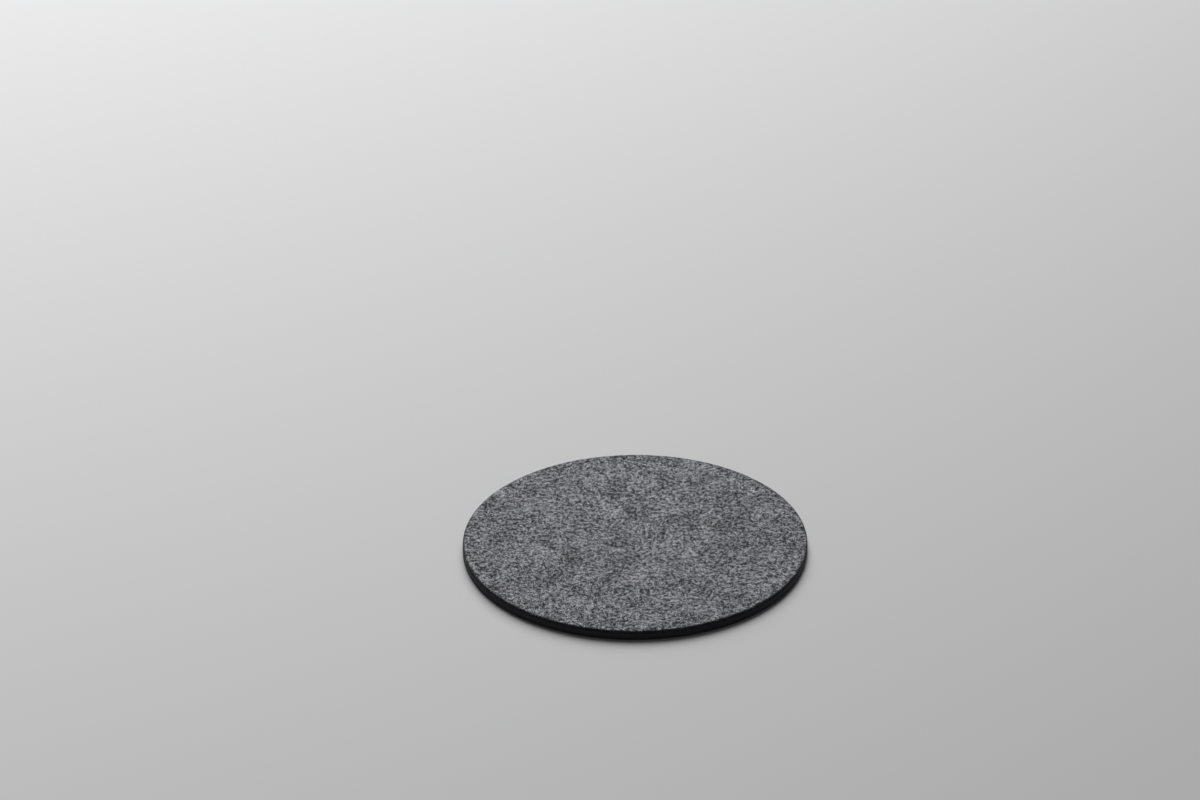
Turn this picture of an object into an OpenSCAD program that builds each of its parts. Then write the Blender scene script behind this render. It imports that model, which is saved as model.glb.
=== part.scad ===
// Flat round drinks coaster.
// A grey melange felt face is bonded with an adhesive film to a black foam-rubber base,
// and all three layers are then die-cut together, so that they share one outline.
// The origin is in the middle of the underside, with +Z up.

/* [Outline] */
// Diameter of the coaster, cut through all layers in one stroke
coaster_d = 100; // [80:1:140]
// Radius of the upper rim, which the cutting die rolls over in the soft felt
rim_r = 0.4; // [0.1:0.05:0.6]
// Radius of the lower edge, where the die leaves the foam rubber
foot_r = 0.2; // [0.05:0.05:0.6]

/* [Layers] */
// Thickness of the felt face
felt_t = 1.0; // [0.8:0.1:3]
// Thickness of the adhesive film
film_t = 0.1; // [0.05:0.05:0.3]
// Thickness of the foam-rubber base
base_t = 1.9; // [1:0.1:5]

/* [Hidden] */
$fn = 180;

outline_r = coaster_d / 2;
film_z = base_t;
felt_z = film_z + film_t;
coaster_t = felt_z + felt_t;

felt_grey = "#6f7073";
film_grey = "#2b2b2c";
rubber_black = "#17181a";

// Half of the coaster's section: a straight cut wall between the rolled rim and the eased foot
module cut_section() {
    translate([0, foot_r])
        square([outline_r, coaster_t - rim_r - foot_r]);
    square([outline_r - foot_r, coaster_t / 2]);
    translate([0, coaster_t / 2])
        square([outline_r - rim_r, coaster_t / 2]);
    translate([outline_r - rim_r, coaster_t - rim_r])
        circle(r = rim_r);
    translate([outline_r - foot_r, foot_r])
        circle(r = foot_r);
}

// The bonded sheet after the die has cut it: the outer form of the whole coaster
module die_cut_blank() {
    rotate_extrude()
        cut_section();
}

// The part of the die-cut blank that one layer of the sheet fills, from height z up
module layer(z, thickness) {
    intersection() {
        die_cut_blank();
        translate([0, 0, z])
            cylinder(r = coaster_d, h = thickness);
    }
}

module felt_face() {
    color(felt_grey)
        layer(felt_z, felt_t);
}

module bond_film() {
    color(film_grey)
        layer(film_z, film_t);
}

module rubber_base() {
    color(rubber_black)
        layer(0, base_t);
}

felt_face();
bond_film();
rubber_base();
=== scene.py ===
import math

import bpy
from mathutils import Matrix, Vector, noise


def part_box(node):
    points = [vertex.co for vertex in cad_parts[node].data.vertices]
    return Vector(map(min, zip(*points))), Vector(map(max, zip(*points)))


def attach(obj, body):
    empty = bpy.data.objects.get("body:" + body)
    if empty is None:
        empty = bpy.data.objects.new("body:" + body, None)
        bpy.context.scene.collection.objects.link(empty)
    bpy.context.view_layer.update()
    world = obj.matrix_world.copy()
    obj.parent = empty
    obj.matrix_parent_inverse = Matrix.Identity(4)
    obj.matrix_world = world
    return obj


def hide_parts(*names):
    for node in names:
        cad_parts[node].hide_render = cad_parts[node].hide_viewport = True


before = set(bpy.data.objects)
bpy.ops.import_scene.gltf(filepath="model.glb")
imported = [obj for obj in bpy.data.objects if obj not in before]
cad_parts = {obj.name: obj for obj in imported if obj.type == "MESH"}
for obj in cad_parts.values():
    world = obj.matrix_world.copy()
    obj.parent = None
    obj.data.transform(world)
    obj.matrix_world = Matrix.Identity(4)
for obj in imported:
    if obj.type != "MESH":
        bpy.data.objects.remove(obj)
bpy.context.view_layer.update()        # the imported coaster: felt_face, bond_film and rubber_base
print("frame: " + ", ".join(sorted(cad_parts)))

mm = 0.001
cm2InM2 = 1e4
flatSlope = 0.9          # a surface that points up or down by more than this is a flat side, not the wall
feltLow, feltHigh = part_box("felt_face")
baseLow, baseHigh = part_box("rubber_base")
outlineR = feltHigh.x    # all layers are cut to this radius


def linear(hexColour):   # sRGB hex to the linear colour that a socket takes
    shares = [int(hexColour[i:i + 2], 16) / 255 for i in (1, 3, 5)]
    return [c / 12.92 if c <= 0.04045 else ((c + 0.055) / 1.055) ** 2.4 for c in shares] + [1.0]


def add(tree, kind, inputs=None, stops=(), **settings):
    # A node. Each input is a value or another node's output,
    # and stops are the two (position, sRGB hex) pairs of a ramp.
    made = tree.nodes.new(kind)
    for name, value in settings.items():
        setattr(made, name, value)
    for name, value in (inputs or {}).items():
        if isinstance(value, bpy.types.NodeSocket):
            tree.links.new(value, made.inputs[name])
        else:
            made.inputs[name].default_value = value
    for i, (position, hexColour) in enumerate(stops):
        element = made.color_ramp.elements[i]
        element.position = position
        element.color = linear(hexColour)
    return made


def surface(name, **sockets):   # a material with one Principled shader, and what is the same all over it
    material = bpy.data.materials.new(name)
    material.use_nodes = True
    tree = material.node_tree
    tree.nodes.clear()
    values = {label.replace("_", " "): value for label, value in sockets.items()}
    shader = add(tree, "ShaderNodeBsdfPrincipled", values)
    add(tree, "ShaderNodeOutputMaterial", {"Surface": shader.outputs["BSDF"]})
    return material, tree, shader


def dress(tree, shader, colour, roughness, normal):   # the patterns that the shader of every piece takes
    for label, output in (("Base Color", colour), ("Roughness", roughness), ("Normal", normal)):
        tree.links.new(output, shader.inputs[label])


# Studio: a pale matte floor, and one large soft box behind the coaster that is turned to the left
studio = {
    "floorColour": "#cccccd",
    "floorRadius": 6.0,
    "floorSides": 96,
    "boxReach": 2.29,         # from the coaster
    "boxElevation": 37.3,
    "boxAzimuth": -14.7,      # from straight behind, to the left
    "boxSize": (2.33, 1.87),
    "boxAim": (-3.26, 0.05, 0.0),
    "boxPower": 115.0,
    "ambient": 0.064,
}


def makeStudio():
    sides, radius = studio["floorSides"], studio["floorRadius"]
    turns = [2 * math.pi * i / sides for i in range(sides)]
    rim = [(math.cos(a) * radius, math.sin(a) * radius, 0.0) for a in turns]
    mesh = bpy.data.meshes.new("floor")
    mesh.from_pydata(rim, [], [list(range(sides))])
    floor = bpy.data.objects.new("floor", mesh)
    bpy.context.scene.collection.objects.link(floor)
    # Matte paper: even, with no shine
    paper = surface("matte white sweep", Roughness=1.0, Specular_IOR_Level=0.0,
                    Base_Color=linear(studio["floorColour"]))[0]
    mesh.materials.append(paper)

    elevation, azimuth = math.radians(studio["boxElevation"]), math.radians(studio["boxAzimuth"])
    place = studio["boxReach"] * Vector((math.cos(elevation) * math.sin(azimuth),
                                         math.cos(elevation) * math.cos(azimuth), math.sin(elevation)))
    lamp = bpy.data.lights.new("soft box", "AREA")
    lamp.shape = "RECTANGLE"
    lamp.size, lamp.size_y = studio["boxSize"]
    lamp.energy = studio["boxPower"]
    box = bpy.data.objects.new("soft box", lamp)
    box.location = place
    box.rotation_mode = "QUATERNION"
    box.rotation_quaternion = (Vector(studio["boxAim"]) - place).to_track_quat("-Z", "Y")
    bpy.context.scene.collection.objects.link(box)

    world = bpy.data.worlds.new("dim studio")
    world.use_nodes = True
    world.node_tree.nodes["Background"].inputs["Color"].default_value = (1, 1, 1, 1)
    world.node_tree.nodes["Background"].inputs["Strength"].default_value = studio["ambient"]
    bpy.context.scene.world = world
    bpy.context.scene.view_settings.view_transform = "Standard"


# Camera: a long lens that looks down on the coaster from the front
view = {
    "lens": 190.0,
    "sensor": 36.0,
    "farthest": 50.0,
    "elevation": 29.57,
    "reach": 1.9142,
    "aim": (-0.00988, 0.0880, 0.0),    # the middle of the picture, on the floor behind the coaster
    "roll": -0.4,
}


def makeCamera():
    elevation = math.radians(view["elevation"])
    towards = Vector((0, math.cos(elevation), -math.sin(elevation)))
    camera = bpy.data.objects.new("camera", bpy.data.cameras.new("camera"))
    camera.data.lens = view["lens"]
    camera.data.sensor_width = view["sensor"]
    camera.data.clip_end = view["farthest"]
    camera.location = Vector(view["aim"]) - towards * view["reach"]
    camera.rotation_euler = (math.radians(90) - elevation, 0, 0)
    camera.rotation_euler.rotate_axis("Z", math.radians(view["roll"]))
    bpy.context.scene.collection.objects.link(camera)
    bpy.context.scene.camera = camera


makeStudio()
makeCamera()
print("studio and camera set")


def ringDisc(radius, rings):   # points and triangles of a flat disc, in rings of 6, 12, 18 and so on
    points, faces = [(0.0, 0.0)], []
    for k in range(1, rings + 1):
        first, inner = len(points), len(points) - max(6 * (k - 1), 1)
        for i in range(6 * k):
            a = 2 * math.pi * i / (6 * k)
            points.append((radius * k / rings * math.cos(a), radius * k / rings * math.sin(a)))
        for i in range(6 * k):
            side, step = divmod(i, k)
            below = inner + (side * (k - 1) + step) % max(6 * (k - 1), 1)
            faces.append((below, first + i, first + (i + 1) % (6 * k)))
            if step < k - 1:
                after = inner + (side * (k - 1) + step + 1) % (6 * (k - 1))
                faces.append((below, first + (i + 1) % (6 * k), after))
    return points, faces


def bridge(inner, outer, count, outerCount):
    # Faces between two rings. The outer one has as many points as the inner one, or twice as many.
    faces = []
    for i in range(count):
        j = (i + 1) % count
        if outerCount == count:
            faces.append((inner + i, outer + i, outer + j, inner + j))
        else:
            a, b, c = outer + 2 * i, outer + 2 * i + 1, outer + (2 * i + 2) % outerCount
            faces += [(inner + i, a, b), (inner + i, b, inner + j), (inner + j, b, c)]
    return faces


def discPiece(name, flatR, rings, wall, flatZ, moved):
    # A disc with a fine mesh on one flat side, a finer wall of rings (radius, height, outward)
    # and a plain far side. moved(point, outward) gives each point its relief,
    # and the attribute "edge" is 0 on the flat and 1 on the wall.
    flat, faces = ringDisc(flatR, rings)
    turned = wall[-1][1] > flatZ      # the fine side is the underside
    points = [moved(Vector((x, y, flatZ)), Vector((0, 0, -1 if turned else 1))) for x, y in flat]
    edge = [0.0] * len(points)
    count, columns = 6 * rings, 12 * rings
    last = len(points) - count
    for radius, z, (sideways, upwards) in wall:
        start = len(points)
        for i in range(columns):
            a = 2 * math.pi * i / columns
            spoke = Vector((math.cos(a), math.sin(a), 0))
            outward = spoke * sideways + Vector((0, 0, upwards))
            points.append(moved(spoke * radius + Vector((0, 0, z)), outward))
        edge += [sideways] * columns
        faces += bridge(last, start, count, columns)
        last, count = start, columns
    points.append(Vector((0, 0, wall[-1][1])))
    edge.append(0.0)
    faces += [(len(points) - 1, last + (i + 1) % count, last + i) for i in range(count)]
    if turned:
        faces = [tuple(reversed(f)) for f in faces]
    mesh = bpy.data.meshes.new(name)
    mesh.from_pydata(points, [], faces)
    mesh.polygons.foreach_set("use_smooth", [True] * len(mesh.polygons))
    mesh.attributes.new("edge", "FLOAT", "POINT").data.foreach_set("value", edge)
    piece = bpy.data.objects.new(name, mesh)
    bpy.context.scene.collection.objects.link(piece)
    return piece


# Felt face: needled melange felt, whose upper rim the cutting die has rolled over
felt = {
    "rimR": 0.4 * mm,
    "rimSteps": (70, 50, 30, 10),   # degrees, from the face down to the wall
    "skin": 0.08 * mm,          # the fibres lie in this depth, over the body
    "rings": 150,
    "wallRows": 6,
    "lumpSize": 1.3 * mm,       # tufts between the needle pricks
    "lumpHeight": 0.03 * mm,
    "swellSize": 14 * mm,       # slow unevenness of the batt
    "swellHeight": 0.03 * mm,
    "cutLong": 1.0 * mm,        # fibre layers that the die has cut through: long round the wall, and thin
    "cutThin": 0.22 * mm,
    "cutDepth": 0.04 * mm,
    "strandSize": 0.6 * mm,     # how far a strand in the material runs before it turns
    "strandWidth": 0.05,        # as a share of the noise, drawn coarser than a fibre so that it shows
    "strandHeight": 0.05 * mm,
    "strandSlices": (0.0, 5.0, 9.0),   # of the noise, one for each layer of strands
    "speckSize": 0.5 * mm,      # from lighter strands to darker ones
    # painted shade: the body's strands and depths are coloured darker than the staple above, for the shade
    # under the drawn fibres
    "shadedStrandDye": ((0.35, "#17181b"), (0.65, "#54565b")),
    # painted shade: the cut wall is coloured far darker than the face, for the shade among the fibre ends
    "cutEndShadeDye": ((0.35, "#0d0e10"), (0.7, "#303136")),
    "depthShadeColour": "#0e0f12",
    # where the painted shade of the wall takes over from the face
    "wallShadeFrom": (0.4, 0.6),      # of the attribute "edge", where the face turns into the wall
    "dullness": (1.0, 0.75),    # in the depths and on a strand
}


def feltRelief(point, outward):
    lumps = noise.noise(point / felt["lumpSize"], noise_basis="PERLIN_ORIGINAL") * felt["lumpHeight"]
    swell = noise.noise(point / felt["swellSize"], noise_basis="PERLIN_ORIGINAL") * felt["swellHeight"]
    strata = Vector((point.x / felt["cutLong"], point.y / felt["cutLong"], point.z / felt["cutThin"]))
    cut = noise.noise(strata, noise_basis="PERLIN_ORIGINAL") * felt["cutDepth"]
    return point + outward * (lumps + swell if outward.z > flatSlope else cut)


def makeFelt():
    roll = [math.radians(a) for a in felt["rimSteps"]]
    bodyR, bodyHigh = outlineR - felt["skin"], feltHigh.z - felt["skin"]
    wall = [(bodyR - felt["rimR"] * (1 - math.cos(a)), bodyHigh - felt["rimR"] * (1 - math.sin(a)),
             (math.cos(a), math.sin(a))) for a in roll]
    wallHigh = bodyHigh - felt["rimR"]
    for k in range(felt["wallRows"]):
        share = k / (felt["wallRows"] - 1)
        wall.append((bodyR, wallHigh + (feltLow.z - wallHigh) * share, (1, 0)))
    return discPiece("felt_disc", bodyR - felt["rimR"], felt["rings"], wall, bodyHigh, feltRelief)


def feltMaterial():
    # Needled melange felt of polyester, between the fibres that are drawn: a finer tangle of lighter
    # strands over dark depths, both coloured darker than the staple as painted shade under the drawn
    # fibres. The die-cut wall looks into the ends of the fibres and is coloured far darker still, as
    # painted shade among them.
    material, tree, shader = surface("needled melange felt", IOR=1.57, Specular_IOR_Level=0.2)
    place = add(tree, "ShaderNodeTexCoord").outputs["Object"]
    gap = 1.0   # from the nearest strand, which runs where one of the noises crosses its middle
    for layer in felt["strandSlices"]:
        wander = add(tree, "ShaderNodeTexNoise",
                     {"Vector": place, "W": layer, "Scale": 1 / felt["strandSize"], "Detail": 1.0},
                     noise_dimensions="4D").outputs["Fac"]
        side = add(tree, "ShaderNodeMath", {0: wander, 1: 0.5}, operation="SUBTRACT").outputs["Value"]
        away = add(tree, "ShaderNodeMath", {0: side}, operation="ABSOLUTE").outputs["Value"]
        gap = add(tree, "ShaderNodeMath", {0: away, 1: gap}, operation="MINIMUM").outputs["Value"]
    strand = add(tree, "ShaderNodeMapRange",
                 {"Value": gap, "From Max": felt["strandWidth"],
                  "To Min": 1.0, "To Max": 0.0}).outputs["Result"]
    specks = add(tree, "ShaderNodeTexNoise",
                 {"Vector": place, "Scale": 1 / felt["speckSize"], "Detail": 2.0}).outputs["Fac"]
    # painted shade under the drawn fibres, mottled by the specks
    dye = add(tree, "ShaderNodeValToRGB", {"Fac": specks}, stops=felt["shadedStrandDye"]).outputs["Color"]
    # painted shade: near black in the depths between the strands
    face = add(tree, "ShaderNodeMix",
               {0: strand, 6: linear(felt["depthShadeColour"]), 7: dye}, data_type="RGBA").outputs[2]
    # painted shade of the cut wall, laid on by the attribute edge
    ends = add(tree, "ShaderNodeValToRGB", {"Fac": specks}, stops=felt["cutEndShadeDye"]).outputs["Color"]
    edge = add(tree, "ShaderNodeAttribute", attribute_name="edge").outputs["Fac"]
    cut = add(tree, "ShaderNodeMapRange",
              {"Value": edge, "From Min": felt["wallShadeFrom"][0],
               "From Max": felt["wallShadeFrom"][1]}).outputs["Result"]
    colour = add(tree, "ShaderNodeMix", {0: cut, 6: face, 7: ends}, data_type="RGBA").outputs[2]
    dull = add(tree, "ShaderNodeMapRange",
               {"Value": strand, "To Min": felt["dullness"][0], "To Max": felt["dullness"][1]})
    bump = add(tree, "ShaderNodeBump",
               {"Height": strand, "Strength": 0.6, "Distance": felt["strandHeight"]})
    dress(tree, shader, colour, dull.outputs["Result"], bump.outputs["Normal"])
    return material


feltDisc = makeFelt()
print("felt disc: %d faces" % len(feltDisc.data.polygons))


# Melange fibres: black, grey and white staple, carded together before needling, and the cut ends
# in the wall, which are toned far darker as painted shade. Real staple is about 0.03 mm thick, which no
# picture of the whole coaster would show, so it is drawn coarser. Facing is the range of upward slope of
# the felt that the fibres start on.
fibres = {
    "felt_fibres_black": {"perCm2": 168, "tones": ("#101114", "#26272c"), "seed": 11, "tufted": -1.4,
                          "thick": 0.24 * mm},
    "felt_fibres_grey": {"perCm2": 165, "tones": ("#54565c", "#888a91"), "seed": 23, "tufted": 0.0,
                         "shortest": 0.4 * mm, "longest": 1.6 * mm, "thick": 0.12 * mm},
    "felt_fibres_silver": {"perCm2": 300, "tones": ("#a4a6ad", "#c8c9d0"), "seed": 31, "tufted": 1.0,
                           "longest": 1.1 * mm, "thick": 0.15 * mm, "points": 2},
    "felt_fibres_white": {"perCm2": 120, "tones": ("#e6e7ec", "#fbfbfe"), "seed": 37, "tufted": 0.6,
                          "shortest": 0.5 * mm, "longest": 2.0 * mm, "rarity": 2.0, "thick": 0.11 * mm,
                          "curl": 0.9 * mm, "points": 4},
    "felt_fibres_pale": {"perCm2": 300, "tones": ("#e6e7ec", "#fbfbfe"), "seed": 53, "tufted": 1.4,
                         "longest": 1.0 * mm, "thick": 0.12 * mm, "points": 2},
    # painted shade: the cut ends are toned far darker than the staple above, for the shade among them in
    # the felt
    "felt_fibres_cut": {"perCm2": 2400, "tones": ("#0e0f12", "#47484d"), "seed": 41, "tufted": 0.0,
                        "shortest": 0.2 * mm, "longest": 0.8 * mm, "thick": 0.12 * mm,
                        "facing": (-0.4, flatSlope), "rimGap": -1.0 * mm},
}
fibre = {                       # what a kind above doesn't say for itself
    "shortest": 0.2 * mm,
    "longest": 0.9 * mm,
    "rarity": 3.0,              # the higher it is, the fewer are long
    "thick": 0.2 * mm,
    "tip": 0.85,                # width of the ends, as a share
    "points": 3,                # along each one
    "curl": 0.5 * mm,
    "curlSize": 1.0 * mm,
    "curlSpread": 997.0,        # sets the curl of each one apart from the next
    "lift": 0.09 * mm,          # of the highest, before they are pressed
    "press": 0.6,               # share of their height that pressing takes
    "facing": (flatSlope, 1.1),
    "rimGap": 0.36 * mm,        # from the outline to where they are cut
    "tuftSize": 1.0 * mm,
    "tuftSpan": (0.36, 0.64),   # of the noise, from bare felt to a full tuft
    "cloudSize": 6 * mm,
    "cloudiness": 1.5,
    "crimpSize": 0.15 * mm,
    "crimpHeight": 0.03 * mm,
    "dullness": (0.4, 0.85),    # along the crimp
}


def fibreTree():
    tree = bpy.data.node_groups.new("lay fibres", "GeometryNodeTree")
    tree.interface.new_socket("Felt", in_out="INPUT", socket_type="NodeSocketGeometry")
    for label in ("Density", "Tuft Size", "Tufted", "Facing Least", "Facing Most", "Shortest", "Longest",
                  "Rarity of Long", "Rim Radius", "Radius", "Tip", "Curl", "Curl Size", "Lift", "Press",
                  "Cloud Size", "Cloudiness"):
        tree.interface.new_socket(label, in_out="INPUT", socket_type="NodeSocketFloat")
    for label in ("Points", "Seed"):
        tree.interface.new_socket(label, in_out="INPUT", socket_type="NodeSocketInt")
    tree.interface.new_socket("Material", in_out="INPUT", socket_type="NodeSocketMaterial")
    tree.interface.new_socket("Fibres", in_out="OUTPUT", socket_type="NodeSocketGeometry")
    given = add(tree, "NodeGroupInput").outputs

    # slow clouds that the carding leaves, in the tone of the fibres and in where those of one colour lie
    place = add(tree, "GeometryNodeInputPosition").outputs["Position"]
    often = add(tree, "ShaderNodeMath",
                {0: 1.0, 1: given["Cloud Size"]}, operation="DIVIDE").outputs["Value"]
    cloud = add(tree, "ShaderNodeTexNoise", {"Vector": place, "Scale": often, "Detail": 1.0}).outputs["Fac"]
    offset = add(tree, "ShaderNodeMath", {0: cloud, 1: 0.5}, operation="SUBTRACT").outputs["Value"]
    cloudy = add(tree, "ShaderNodeMath",
                 {0: offset, 1: given["Cloudiness"]}, operation="MULTIPLY").outputs["Value"]

    # where fibres start: on faces that slope as asked, and more of them in tufts of their own colour
    normal = add(tree, "GeometryNodeInputNormal").outputs["Normal"]
    up = add(tree, "ShaderNodeSeparateXYZ", {"Vector": normal}).outputs["Z"]
    above = add(tree, "FunctionNodeCompare",
                {"A": up, "B": given["Facing Least"]}, operation="GREATER_THAN")
    below = add(tree, "FunctionNodeCompare", {"A": up, "B": given["Facing Most"]}, operation="LESS_THAN")
    facing = add(tree, "FunctionNodeBooleanMath", {0: above.outputs["Result"], 1: below.outputs["Result"]})
    close = add(tree, "ShaderNodeMath",
                {0: 1.0, 1: given["Tuft Size"]}, operation="DIVIDE").outputs["Value"]
    tufts = add(tree, "ShaderNodeTexNoise", {"Vector": place, "Scale": close, "Detail": 1.0}).outputs["Fac"]
    tuft = add(tree, "ShaderNodeMapRange",
               {"Value": tufts, "From Min": fibre["tuftSpan"][0], "From Max": fibre["tuftSpan"][1],
                "To Min": -1.0, "To Max": 1.0}).outputs["Result"]
    both = add(tree, "ShaderNodeMath", {0: tuft, 1: cloudy}).outputs["Value"]
    crowd = add(tree, "ShaderNodeMath",
                {0: both, 1: given["Tufted"], 2: 1.0}, operation="MULTIPLY_ADD").outputs["Value"]
    density = add(tree, "ShaderNodeMath",
                  {0: crowd, 1: given["Density"]}, operation="MULTIPLY").outputs["Value"]
    starts = add(tree, "GeometryNodeDistributePointsOnFaces",
                 {"Mesh": given["Felt"], "Selection": facing.outputs["Boolean"],
                  "Density": density, "Seed": given["Seed"]})

    # how light each one is, by chance and by its cloud
    chance = add(tree, "FunctionNodeRandomValue", {"Seed": given["Seed"]}).outputs[1]
    tone = add(tree, "ShaderNodeMath", {0: chance, 1: cloudy}).outputs["Value"]
    toned = add(tree, "GeometryNodeStoreNamedAttribute",
                {"Geometry": starts.outputs["Points"], "Name": "tone", "Value": tone})

    # a straight strand on each, turned any way in the plane of the felt;
    # most are short, and the rim cuts them shorter
    line = add(tree, "GeometryNodeCurvePrimitiveLine", {"Start": (-0.5, 0, 0), "End": (0.5, 0, 0)})
    strand = add(tree, "GeometryNodeResampleCurve",
                 {"Curve": line.outputs["Curve"], "Count": given["Points"]})
    spinSeed = add(tree, "ShaderNodeMath", {0: given["Seed"], 1: 1.0}).outputs["Value"]
    spin = add(tree, "FunctionNodeRandomValue", {3: 2 * math.pi, "Seed": spinSeed}).outputs[1]
    spun = add(tree, "FunctionNodeAxisAngleToRotation", {"Axis": (0, 0, 1), "Angle": spin})
    turn = add(tree, "FunctionNodeRotateRotation",
               {"Rotation": starts.outputs["Rotation"], "Rotate By": spun.outputs["Rotation"]},
               rotation_space="LOCAL")
    longSeed = add(tree, "ShaderNodeMath", {0: given["Seed"], 1: 2.0}).outputs["Value"]
    even = add(tree, "FunctionNodeRandomValue", {"Seed": longSeed}).outputs[1]
    rare = add(tree, "ShaderNodeMath",
               {0: even, 1: given["Rarity of Long"]}, operation="POWER").outputs["Value"]
    length = add(tree, "ShaderNodeMapRange",
                 {"Value": rare, "To Min": given["Shortest"], "To Max": given["Longest"]}).outputs["Result"]
    flatPlace = add(tree, "ShaderNodeVectorMath",
                    {0: place, 1: (1, 1, 0)}, operation="MULTIPLY").outputs["Vector"]
    reach = add(tree, "ShaderNodeVectorMath", {0: flatPlace}, operation="LENGTH").outputs["Value"]
    room = add(tree, "ShaderNodeMath",
               {0: given["Rim Radius"], 1: reach}, operation="SUBTRACT").outputs["Value"]
    most = add(tree, "ShaderNodeMath", {0: room, 1: 2.0}, operation="MULTIPLY").outputs["Value"]
    cutLength = add(tree, "ShaderNodeMath", {0: length, 1: most}, operation="MINIMUM").outputs["Value"]
    strands = add(tree, "GeometryNodeInstanceOnPoints",
                  {"Points": toned.outputs["Geometry"], "Instance": strand.outputs["Curve"],
                   "Rotation": turn.outputs["Rotation"], "Scale": cutLength})
    strands = add(tree, "GeometryNodeRealizeInstances", {"Geometry": strands.outputs["Instances"]})

    # curled sideways, each by its own slice of the noise
    own = add(tree, "GeometryNodeInputNamedAttribute", {"Name": "tone"}).outputs["Attribute"]
    ownSlice = add(tree, "ShaderNodeMath",
                   {0: own, 1: fibre["curlSpread"]}, operation="MULTIPLY").outputs["Value"]
    fineness = add(tree, "ShaderNodeMath",
                   {0: 1.0, 1: given["Curl Size"]}, operation="DIVIDE").outputs["Value"]
    wander = add(tree, "ShaderNodeTexNoise", {"W": ownSlice, "Scale": fineness, "Detail": 0.0},
                 noise_dimensions="4D").outputs["Color"]
    centred = add(tree, "ShaderNodeVectorMath",
                  {0: wander, 1: (0.5, 0.5, 0.5)}, operation="SUBTRACT").outputs["Vector"]
    curl = add(tree, "ShaderNodeVectorMath",
               {0: centred, "Scale": given["Curl"]}, operation="SCALE").outputs["Vector"]
    curled = add(tree, "GeometryNodeSetPosition", {"Geometry": strands.outputs["Geometry"], "Offset": curl})

    # then laid on the felt, over its lumps and its rolled rim, some higher than others
    near = add(tree, "GeometryNodeProximity",
               {"Geometry": given["Felt"]}, target_element="FACES").outputs["Position"]
    outward = add(tree, "GeometryNodeSampleNearestSurface", {"Mesh": given["Felt"], "Value": normal},
                  data_type="FLOAT_VECTOR").outputs["Value"]
    share = add(tree, "ShaderNodeMath", {0: ownSlice}, operation="FRACT").outputs["Value"]
    rise = add(tree, "ShaderNodeMath", {0: share, 1: given["Lift"]}, operation="MULTIPLY").outputs["Value"]
    raised = add(tree, "ShaderNodeVectorMath",
                 {0: outward, "Scale": rise}, operation="SCALE").outputs["Vector"]
    laid = add(tree, "GeometryNodeSetPosition",
               {"Geometry": curled.outputs["Geometry"], "Position": near, "Offset": raised})

    # a thin three-sided tube, finer towards its ends, and pressed flat on the felt
    along = add(tree, "GeometryNodeSplineParameter").outputs["Factor"]
    rest = add(tree, "ShaderNodeMath", {0: 1.0, 1: along}, operation="SUBTRACT").outputs["Value"]
    belly = add(tree, "ShaderNodeMath", {0: along, 1: rest}, operation="MULTIPLY").outputs["Value"]
    taper = add(tree, "ShaderNodeMapRange",
                {"Value": belly, "From Max": 0.25, "To Min": given["Tip"], "To Max": 1.0}).outputs["Result"]
    width = add(tree, "ShaderNodeMath",
                {0: taper, 1: given["Radius"]}, operation="MULTIPLY").outputs["Value"]
    section = add(tree, "GeometryNodeCurvePrimitiveCircle", {"Resolution": 3, "Radius": 1.0})
    tube = add(tree, "GeometryNodeCurveToMesh",
               {"Curve": laid.outputs["Geometry"], "Profile Curve": section.outputs["Curve"],
                "Scale": width, "Fill Caps": True})
    sunk = add(tree, "ShaderNodeMix", {0: given["Press"], 4: place, 5: near}, data_type="VECTOR").outputs[1]
    flat = add(tree, "GeometryNodeSetPosition", {"Geometry": tube.outputs["Mesh"], "Position": sunk})
    smooth = add(tree, "GeometryNodeSetShadeSmooth", {"Geometry": flat.outputs["Geometry"]})
    real = add(tree, "GeometryNodeRealizeInstances", {"Geometry": smooth.outputs["Geometry"]})
    dyed = add(tree, "GeometryNodeSetMaterial",
               {"Geometry": real.outputs["Geometry"], "Material": given["Material"]})
    add(tree, "NodeGroupOutput", {"Fibres": dyed.outputs["Geometry"]})
    return tree


def fibreMaterial(name, tones):
    # Dyed polyester staple, spun and crimped: dull, each fibre a little lighter or darker than the next,
    # with a soft gleam where its crimp turns to the light. In the felt they shade each other's gleam.
    material, tree, shader = surface(name, IOR=1.57, Specular_IOR_Level=0.25)
    tone = add(tree, "ShaderNodeAttribute", attribute_name="tone").outputs["Fac"]
    dye = add(tree, "ShaderNodeValToRGB", {"Fac": tone}, stops=[(0.0, tones[0]), (1.0, tones[1])])
    place = add(tree, "ShaderNodeTexCoord").outputs["Object"]
    crimp = add(tree, "ShaderNodeTexNoise",
                {"Vector": place, "Scale": 1 / fibre["crimpSize"], "Detail": 1.0}).outputs["Fac"]
    dull = add(tree, "ShaderNodeMapRange",
               {"Value": crimp, "To Min": fibre["dullness"][0], "To Max": fibre["dullness"][1]})
    bump = add(tree, "ShaderNodeBump", {"Height": crimp, "Strength": 0.3, "Distance": fibre["crimpHeight"]})
    dress(tree, shader, dye.outputs["Color"], dull.outputs["Result"], bump.outputs["Normal"])
    return material


def grow(name, host, tree, values):   # runs the tree on the host's mesh, and keeps a plain mesh
    piece = bpy.data.objects.new(name, host.data.copy())
    bpy.context.scene.collection.objects.link(piece)
    modifier = piece.modifiers.new("fibres", "NODES")
    modifier.node_group = tree
    for socket in tree.interface.items_tree:
        if socket.name in values:
            modifier[socket.identifier] = values[socket.name]
    evaluated = piece.evaluated_get(bpy.context.evaluated_depsgraph_get())
    mesh = bpy.data.meshes.new_from_object(evaluated)
    piece.modifiers.clear()
    piece.data = mesh
    mesh.name = name
    return piece


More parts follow.
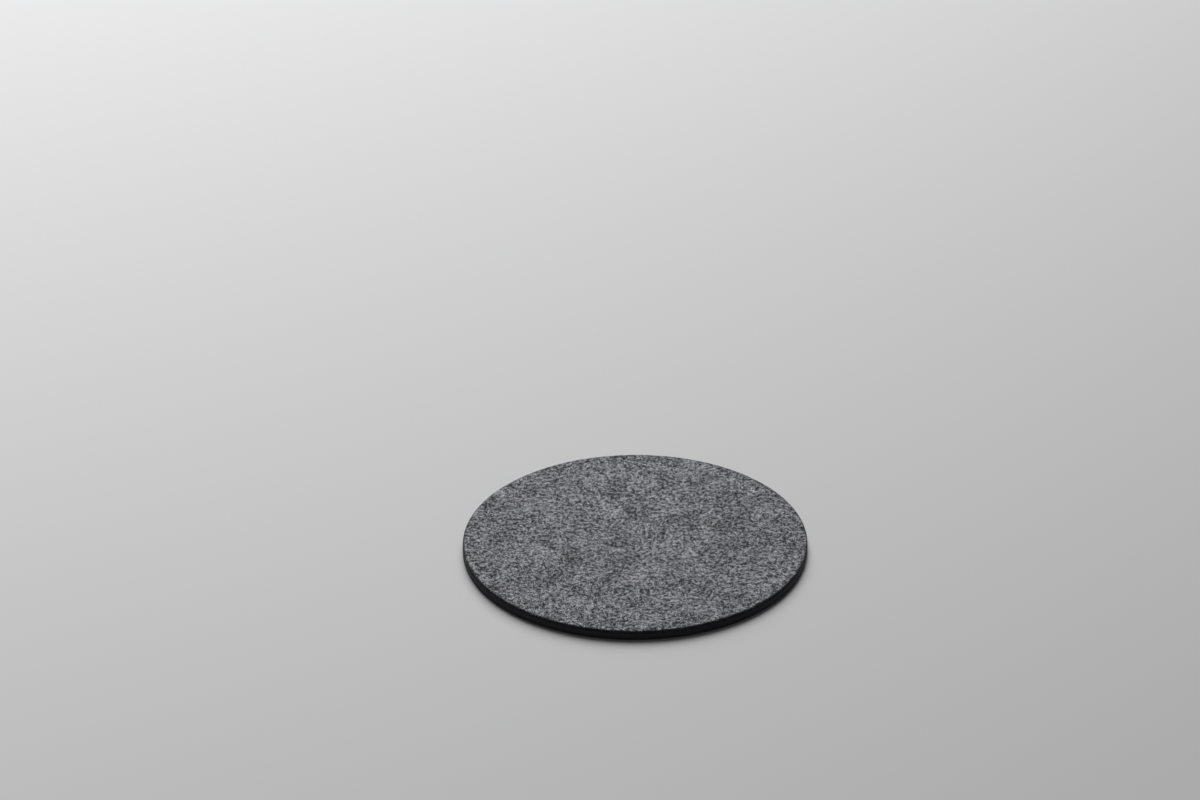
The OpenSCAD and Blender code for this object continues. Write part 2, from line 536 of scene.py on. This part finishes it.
layFibres = fibreTree()
melange = []
for name, kind in fibres.items():
    look = {**fibre, **kind}
    values = {"Density": look["perCm2"] * cm2InM2, "Tuft Size": look["tuftSize"], "Tufted": look["tufted"],
              "Facing Least": look["facing"][0], "Facing Most": look["facing"][1],
              "Shortest": look["shortest"], "Longest": look["longest"], "Rarity of Long": look["rarity"],
              "Rim Radius": outlineR - look["rimGap"], "Radius": look["thick"] / 2, "Tip": look["tip"],
              "Curl": look["curl"], "Curl Size": look["curlSize"], "Lift": look["lift"],
              "Press": look["press"], "Cloud Size": look["cloudSize"], "Cloudiness": look["cloudiness"],
              "Points": look["points"], "Seed": look["seed"],
              "Material": fibreMaterial(name.replace("_", " "), look["tones"])}
    melange.append(grow(name, feltDisc, layFibres, values))
    print("%s: %d faces" % (name, len(melange[-1].data.polygons)))

feltDisc.data.materials.append(feltMaterial())   # after the fibres, which start on its bare mesh


# Base: black foam rubber, with a fine anti-slip waffle pressed into its underside
base = {
    "footR": 0.2 * mm,
    "footSteps": (-60, -30),    # degrees, from the underside up to the wall
    "rings": 130,
    "wallRows": 14,
    "waffle": 2.0 * mm,         # pitch of the pressed pattern
    "waffleDeep": 0.12 * mm,
    "plainRim": 1.0 * mm,       # the pattern runs out towards the edge
    "cellSize": 0.45 * mm,      # foam cells that the die has cut open in the wall
    "cellReach": 0.6,           # from the middle of a cell to its rim, as a share of its size
    "cellDeep": 0.05 * mm,
    "grainSize": 0.22 * mm,     # finer cells, in the material
    "grainHeight": 0.06 * mm,
    # black rubber, with painted shade darker in the middle of each cell
    "grainAndCellShade": ((0.1, "#111217"), (0.7, "#25262b")),
    "dullness": (0.85, 0.5),    # in a cell and on its rim
}


def baseRelief(point, outward):
    if outward.z < -flatSlope:
        ribs = max(math.cos(2 * math.pi * across / base["waffle"]) for across in (point.x, point.y))
        fade = min(1.0, (outlineR - base["footR"] - point.xy.length) / base["plainRim"])
        return point + Vector((0, 0, (1 - ribs) / 2 * base["waffleDeep"] * fade))
    middle = noise.voronoi(point / base["cellSize"])[0][0]
    return point - outward * max(0.0, 1 - (middle / base["cellReach"]) ** 2) * base["cellDeep"]


def makeBase():
    roll = [math.radians(a) for a in base["footSteps"]]
    wall = [(outlineR - base["footR"] * (1 - math.cos(a)), base["footR"] * (1 + math.sin(a)),
             (math.cos(a), math.sin(a))) for a in roll]
    for k in range(base["wallRows"]):
        share = k / (base["wallRows"] - 1)
        wall.append((outlineR, base["footR"] + (baseHigh.z - base["footR"]) * share, (1, 0)))
    return discPiece("foam_base", outlineR - base["footR"], base["rings"], wall, baseLow.z, baseRelief)


def foamMaterial():
    # Black foam rubber, skived to thickness and die-cut: dull, with a grain of open cells
    # whose insides are coloured blacker, as painted shade.
    material, tree, shader = surface("black foam rubber", IOR=1.52, Specular_IOR_Level=0.4)
    place = add(tree, "ShaderNodeTexCoord").outputs["Object"]
    cells = add(tree, "ShaderNodeTexVoronoi",
                {"Vector": place, "Scale": 1 / base["grainSize"]}).outputs["Distance"]
    # painted shade: darker in the middle of each cell
    colour = add(tree, "ShaderNodeValToRGB", {"Fac": cells}, stops=base["grainAndCellShade"])
    dull = add(tree, "ShaderNodeMapRange",
               {"Value": cells, "To Min": base["dullness"][0], "To Max": base["dullness"][1]})
    bump = add(tree, "ShaderNodeBump", {"Height": cells, "Strength": 0.5, "Distance": base["grainHeight"]})
    dress(tree, shader, colour.outputs["Color"], dull.outputs["Result"], bump.outputs["Normal"])
    return material


foamBase = makeBase()
foamBase.data.materials.append(foamMaterial())
print("foam base: %d faces" % len(foamBase.data.polygons))


# Film: the adhesive between the two, which shows as a thin line in the wall and keeps its own solid
film = {
    "smearSize": 1.5 * mm,
    "smearHeight": 0.05 * mm,
    "smearDye": ((0.3, "#121213"), (0.7, "#28282a")),
    "dullness": (0.35, 0.6),
}


def filmMaterial():
    # Hot-melt adhesive film, pressed hot and die-cut: a dark line with a slight gloss
    # where the blade smeared it.
    material, tree, shader = surface("hot melt film", IOR=1.49)
    place = add(tree, "ShaderNodeTexCoord").outputs["Object"]
    smears = add(tree, "ShaderNodeTexNoise",
                 {"Vector": place, "Scale": 1 / film["smearSize"], "Detail": 3.0}).outputs["Fac"]
    colour = add(tree, "ShaderNodeValToRGB", {"Fac": smears}, stops=film["smearDye"])
    dull = add(tree, "ShaderNodeMapRange",
               {"Value": smears, "To Min": film["dullness"][0], "To Max": film["dullness"][1]})
    bump = add(tree, "ShaderNodeBump", {"Height": smears, "Strength": 0.3, "Distance": film["smearHeight"]})
    dress(tree, shader, colour.outputs["Color"], dull.outputs["Result"], bump.outputs["Normal"])
    return material


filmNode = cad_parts["bond_film"]
filmNode.data.materials.clear()
filmNode.data.materials.append(filmMaterial())
print("film dressed")

for piece in [feltDisc, foamBase, *melange]:
    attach(piece, "root")
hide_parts("felt_face")
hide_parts("rubber_base")
print("pieces set on the frame")
